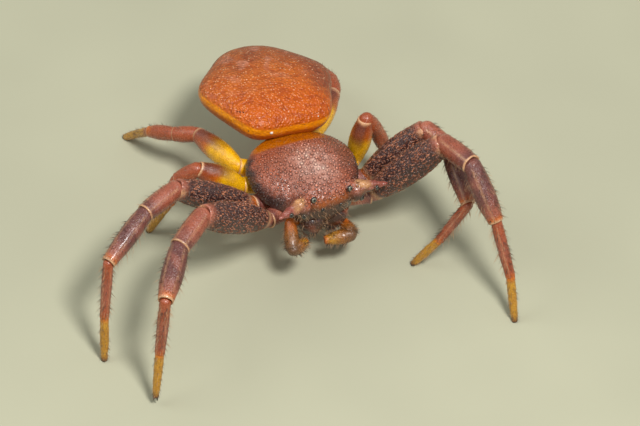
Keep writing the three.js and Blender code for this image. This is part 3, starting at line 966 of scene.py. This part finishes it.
def limbShell(start, end, radii, facets, slim=1.0):
    # one hard segment: a rounded start tucked into the last one, a full middle, a rim and a hollow end
    along = end - start
    length = along.length
    places = np.linspace(0.0, limbMesh["last"], limbMesh["stations"])
    radius = curveThrough(radii, places) * (1 + limbMesh["rim"] * smooth(places, 0.88, 0.96))
    first, last = radius[0], radius[-1]
    rounded = ((0, 0.8), (0.35, 0.74), (0.68, 0.52), (0.9, 0.25))
    profile = [(first * out, -first * back) for out, back in rounded]
    profile += [(value, place * length) for value, place in zip(radius, places)]
    profile += [(last * 0.95, length), (last * 0.86, length), (last * 0.7, length - last * 0.2),
                (0, length - last * 0.3)]
    points, faces = turned(profile, facets)
    share = np.clip(points[:, 2] / length, -0.1, 1)
    angle = np.arctan2(points[:, 1], points[:, 0])
    points[:, 0] *= slim
    return placed(points, Matrix.Translation(start) @ basis(along)), faces, share, angle


legHairs = Pile()
paleHairs = Pile()
paintedHighlightLines = {"angles": (0.9, 2.2), "width": 0.09}   # two painted highlight lines along the top of the front legs, at angles in radians
claws = {
    "profile": [(0, 0), (0.3, 0.02), (0.24, 0.35), (0.14, 0.7), (0, 1)], "front": 0.14, "hind": 0.1,
    "splay": 0.25, "apart": 0.3, "bend": 0.2, "lowest": 0.01,
}


def clawsAt(pile, tip, direction, size):
    # two curved claws side by side, pointing on and down
    points, faces = turned(claws["profile"], 8)
    side = direction.cross(Vector((0, 0, 1))).normalized()
    for sign in (1, -1):
        turn = basis(direction + side * sign * claws["splay"])
        shape = placed(points * size, Matrix.Translation(tip + side * sign * size * claws["apart"]) @ turn)
        bend = points[:, 2] ** 2 * size * claws["bend"]
        shape[:, 2] = np.maximum(shape[:, 2] - bend, claws["lowest"])
        pile.add(shape, faces, tint=legTones["grey"] * 0.3, grain=0.0)


def makeLeg(leg, places):
    sideName, number = leg.split("_")
    sign = sideSigns[sideName]
    radii, tints = legRadii[number], legTints[number]
    points = [Vector(place) for place in places]
    rootOnBody = bodyFrame.inverted() @ points[0]
    innerY = min(rootOnBody.y * coxaInner["share"], coxaInner["rear"])
    inner = bodyFrame @ Vector((coxaInner["x"] * sign, innerY, coxaInner["z"]))
    chain = [inner, *points]
    pile = Pile()
    granular = number in "12"
    for index, name in enumerate(segmentNames):
        start, end = chain[index], chain[index + 1]
        slim = femurSlimness[number] if name == "femur" else 1.0
        shell, faces, share, angle = limbShell(start, end, radii[name], limbMesh["facets"], slim)
        if name == "tarsus":
            shell[:, 2] = np.maximum(shell[:, 2], 0.0)   # the flat under the foot
        tint = stops(share, tints[name])
        if not granular and name == "femur":   # a dark saddle on top
            saddle = smooth(np.clip(np.sin(angle), 0, 1), 0.5, 0.95) * smooth(share, 0.15, 0.6)
            tint = blend(tint, legTones["dark"], 0.75 * saddle * smooth(share, 0.98, 0.93))
        if name == "femur":   # a broken pale ring at the knee
            ring = smooth(share, 0.9, 0.99) * smooth(speckle(shell, 2.6, 13), 0.0, 0.3)
            tint = blend(tint, legTones["cream"] * 1.1, ring * 0.8)
        if granular and name in ("tibia", "metatarsus", "patella"):
            # painted highlight: two pale lines along the upper side
            for place in paintedHighlightLines["angles"]:
                line = np.exp(-((angle - place) / paintedHighlightLines["width"]) ** 2) * smooth(share, 0.0, 0.12)
                tint = blend(tint, legTones["cream"], 0.4 * line * (1 + 0.8 * speckle(shell, 7.0, 11)))
            tint = blend(tint, legTones["pink"], 0.3 * smooth(speckle(shell, 2.5, 12), 0.0, 0.5))
        grain = {"femur": 1.0, "patella": 0.25, "tibia": 0.4}.get(name, 0.1) if granular else 0.05
        bumps = speckle(shell, 6.0, index + 1) * limbMesh["bump"]
        outward = unit(shell - (np.array(start) + np.outer(share, np.array(end - start))))
        pile.add(shell + outward * bumps[:, None], faces, tint=tint, grain=grain)
        if granular and name == "femur":
            addFemurGranules(pile, start, end, radii[name], slim)
        addLegHairs(leg, name, start, end, radii[name], slim, granular)
    clawsAt(pile, chain[-1], (chain[-1] - chain[-2]).normalized(), claws["front" if granular else "hind"])
    piece = pile.make(f"leg_{leg}", legFinish)
    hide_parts(*[f"leg_{leg}_{name}" for name in ("coxa", "femur", "patella", "tibia", "foot")])


def aroundLimb(start, end, radii, slim, share, angle):
    # a place on a segment's surface and its outward direction
    along = end - start
    radius = float(curveThrough(radii, np.array([share]))[0])
    outward = basis(along).to_3x3() @ Vector((math.cos(angle) * slim, math.sin(angle), 0))
    return start + along * share + outward * radius, outward.normalized()


femurGranules = {   # sizes in mm; bare is the smooth collar at the root
    "count": 1350, "radius": (0.017, 0.03), "along": (0.1, 0.94), "bare": 0.13, "shade": (0.6, 1.2),
    "stretch": 0.7, "sunk": 0.3, "height": 0.9,
}


def addFemurGranules(pile, start, end, radii, slim):
    # each granule is two beads in a line along the femur
    rule = femurGranules
    beads = []
    for _ in range(rule["count"]):
        share = chance.uniform(*rule["along"])
        place, outward = aroundLimb(start, end, radii, slim, share, chance.uniform(0, 2 * math.pi))
        radius = chance.uniform(*rule["radius"])
        tone = blend(legTones["dark"], legTones["speck"], chance.uniform(0, 1) ** 1.5)
        tone = tone * chance.uniform(*rule["shade"])
        if share < rule["bare"]:
            continue
        half = (end - start).normalized() * radius * rule["stretch"]
        for step in (-1, 1):
            spot = place + half * step - outward * radius * rule["sunk"]
            beads.append((spot, outward, radius, radius * rule["height"], tone))
    addBeads(pile, bead(1), beads)


hairRules = {   # how many, length range, lean towards the tip, thickness
    "coxa": (8, (0.08, 0.14), 0.6, 0.012), "femur": (150, (0.06, 0.15), 0.7, 0.014),
    "patella": (90, (0.08, 0.18), 0.7, 0.017), "tibia": (190, (0.08, 0.22), 0.7, 0.017),
    "metatarsus": (180, (0.08, 0.22), 0.8, 0.016), "tarsus": (130, (0.06, 0.14), 0.9, 0.015),
}
legIndex = {name: index for index, name in enumerate(legJoints)}


def addLegHairs(leg, name, start, end, radii, slim, granular):
    count, lengths, lean, thick = hairRules[name]
    density = 1.0 if granular else 0.5   # the hind legs are barer, their hairs shorter
    along = (end - start).normalized()
    for _ in range(int(count * density)):
        share, angle = chance.uniform(0.05, 0.97), chance.uniform(0, 2 * math.pi)
        place, outward = aroundLimb(start, end, radii, slim, share, angle)
        direction = outward + along * lean
        length = chance.uniform(*lengths) * (1.0 if granular else 0.7)
        if place.z + direction.normalized().z * length < 0.02:   # it would reach the floor
            continue
        under = math.sin(angle) < -0.2
        if granular and under and name in ("tibia", "metatarsus"):
            length *= 1.5
        patch = ((legIndex[leg] + share) / 9, (segmentNames.index(name) + angle / 6.3) / 7)
        pile = paleHairs if under or chance.random() < 0.3 else legHairs
        addHair(pile, place - outward * 0.01, direction, length, thick * density ** 0.3, along * 0.25, patch)


for leg, places in legJoints.items():
    makeLeg(leg, places)
print("legs made")


# Jaws and palps

jaws = {
    "root": (0.46, -1.38, -0.1), "tip": (0.4, -1.52, -0.85), "radii": (0.46, 0.5, 0.44, 0.3),
    "rough": 0.07, "shade": (0.9, 0.7, 0.5), "hairs": 110, "hairLength": (0.1, 0.24), "hairThickness": 0.016,
}
palpJoints = {
    "right": [(-0.55, -1.1, 1.75), (-1.32, -1.45, 2.08), (-1.6, -2.28, 1.7), (-0.95, -1.98, 1.55)],
    "left": [(0.5, -1.2, 1.3), (0.72, -1.6, 1.3), (0.72, -2.1, 1.28), (-0.2, -1.92, 1.2)],
}
palpRadii = [(0.18, 0.2, 0.2, 0.18), (0.19, 0.23, 0.25, 0.22), (0.22, 0.26, 0.22, 0.13)]
palpHairs = {"counts": (40, 200, 220), "length": (0.07, 0.2), "thickness": 0.015, "lean": 0.5}
palpTones = [marks("0 ochre, 1 orange"), marks("0 orange, 0.5 tan, 1 umber"),
             marks("0 umber, 0.4 tan, 0.8 ochre, 1 orange")]


def makeJaws():
    for name, sign in sideSigns.items():
        pile = Pile()
        root, tip = (bodyFrame @ mirrored(jaws[key], sign) for key in ("root", "tip"))
        length, blunt = (tip - root).length, jaws["radii"][-1]
        turns = np.linspace(0, math.pi / 2, 9)[1:-1]
        cap = [(blunt * math.cos(turn), length + blunt * math.sin(turn)) for turn in turns]
        steps = np.linspace(0, 1, 9)
        sides = list(zip(curveThrough(jaws["radii"], steps), steps * length))
        points, faces = turned([(0, 0), *sides, *cap, (0, length + blunt)], 28)
        points[:, :2] *= (1 + jaws["rough"] * speckle(points, 9.0, 15))[:, None]
        patches = 0.6 * smooth(speckle(points, 3.0, 16), -0.1, 0.4)
        tint = blend(tones["face"], tones["brick"], patches) * jaws["shade"]
        shell = placed(points, Matrix.Translation(root) @ basis(tip - root))
        pile.add(shell, faces, tint=tint, grain=1.0)
        middle = (np.array(root) + np.array(tip)) / 2
        front = [index for index, point in enumerate(shell) if point[1] < middle[1] - 0.05]
        for rank in range(jaws["hairs"]):
            place = shell[chance.choice(front)]
            outward = Vector(place - middle).normalized()
            aside = Vector((chance.uniform(-0.8, 0.8), -0.2, chance.uniform(-1, 0)))
            patch = (0.02 + 0.005 * (rank % 12) + 0.4 * (name == "left"), 0.9 - 0.003 * (rank // 12))
            length = chance.uniform(*jaws["hairLength"])
            kind = paleHairs if rank % 3 else legHairs   # two pale hairs to each dark one
            addHair(kind, place, outward * 0.6 + aside, length, jaws["hairThickness"], -aside * 0.5, patch)
        piece = pile.make(f"jaw_{name}", legFinish)
        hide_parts(f"chelicera_{name}")


def makePalps():
    for name, places in palpJoints.items():
        pile = Pile()
        chain = [Vector(place) for place in places]
        for index, radii in enumerate(palpRadii):
            start, end = chain[index], chain[index + 1]
            shell, faces, share, _ = limbShell(start, end, radii, 22)
            pile.add(shell, faces, tint=stops(share, palpTones[index]), grain=0.2)
            for _ in range(palpHairs["counts"][index]):
                along, angle = chance.uniform(0.1, 1), chance.uniform(0, 2 * math.pi)
                place, outward = aroundLimb(start, end, radii, 1.0, along, angle)
                direction = outward + (end - start).normalized() * palpHairs["lean"]
                patch = (0.93 + 0.02 * index + along * 0.015, 0.5 * (name == "left") + angle / 14)
                length = chance.uniform(*palpHairs["length"])
                kind = legHairs if chance.random() < 0.6 else paleHairs
                addHair(kind, place, direction, length, palpHairs["thickness"], (0, 0, -0.1), patch)
        piece = pile.make(f"palp_{name}", legFinish)
        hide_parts(f"palp_{name}_base", f"palp_{name}_tip")


makeJaws()
makePalps()
print("jaws and palps made")


faceHairs = {"count": 110, "length": (0.14, 0.34), "thickness": 0.018}
bristleTones = {   # at the root and at the tip
    "dark": ((0.03, 0.015, 0.012), (0.1, 0.06, 0.04)), "pale": ((0.42, 0.22, 0.11), (0.72, 0.47, 0.28)),
}


def addFaceHairs():
    # pale curling hairs over the lower face and under the horns
    front = [index for index, (_, y, z) in enumerate(carapacePoints)
             if y < -1.5 and z < 0.6 and carapaceNormals[index][1] < -0.3]
    turn = np.array(bodyFrame.to_3x3())
    for rank, index in enumerate(chance.sample(front, faceHairs["count"])):
        place = placed(carapacePoints[index:index + 1], bodyFrame)[0]
        outward = turn @ carapaceNormals[index]
        aside = np.array([chance.uniform(-1, 1), chance.uniform(-0.2, 0.2), chance.uniform(-0.9, 0.2)])
        patch = (0.02 + 0.05 * (rank % 12) / 12, 0.98 - 0.002 * (rank // 12))
        length = chance.uniform(*faceHairs["length"])
        addHair(paleHairs, place, outward * 0.6 + aside, length, faceHairs["thickness"], -aside * 0.9, patch)


def makeHairPieces():
    dark = legHairs.make("dark_bristles", hairFinish("dark bristle", *bristleTones["dark"]))
    pale = paleHairs.make("pale_bristles", hairFinish("pale bristle", *bristleTones["pale"]))


addFaceHairs()
makeHairPieces()
print("bristles made")
